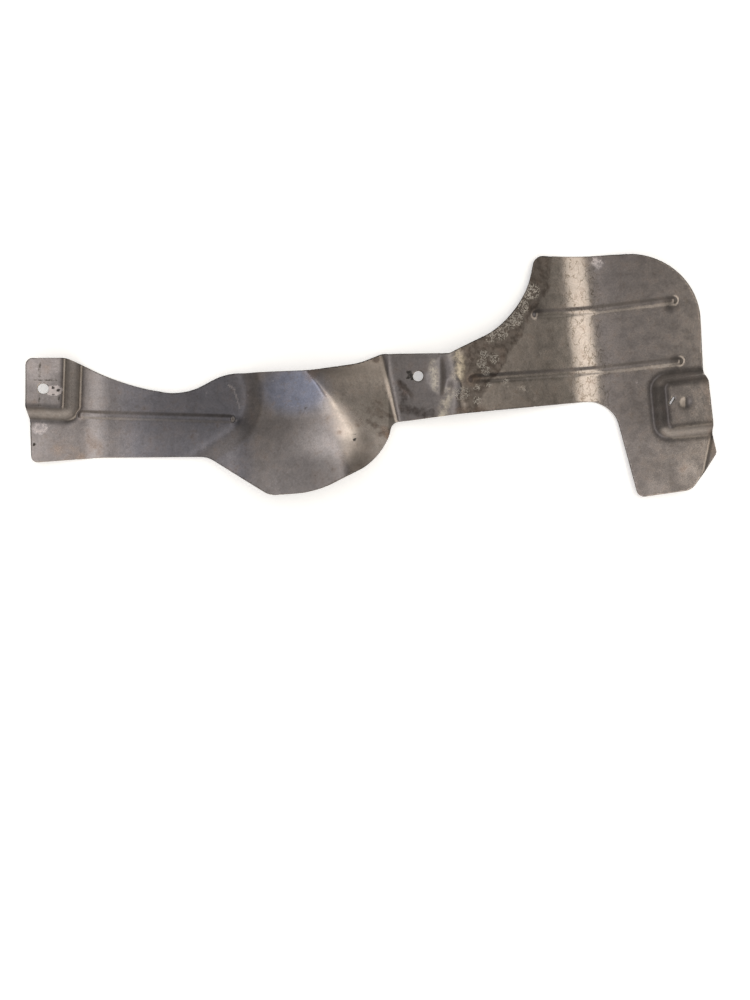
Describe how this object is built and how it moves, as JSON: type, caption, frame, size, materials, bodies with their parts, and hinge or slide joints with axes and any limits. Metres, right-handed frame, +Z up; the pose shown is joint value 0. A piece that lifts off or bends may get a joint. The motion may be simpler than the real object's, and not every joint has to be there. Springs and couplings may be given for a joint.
{
  "type": "exhaust heat shield",
  "caption": "Long pressed sheet-metal exhaust heat shield: arm with raised fixing pad, shallow blister, pinched waist with a fixing hole, and a beaded end plate with a leg.",
  "frame": {"origin": "centre of the bounding box at its lowest level, where the shield lies on the floor on its two soft bends", "axes": "+X runs along the shield from the padded arm to the end plate, +Z points up off the face that the picture shows"},
  "size_m": [0.5746, 0.2047, 0.0261],
  "materials": {
    "aluminised_steel": "dull aluminised steel sheet, heat-stained and lightly rusted"
  },
  "bodies": {
    "root": {"heat_shield": "aluminised_steel"}
  },
  "joints": []
}
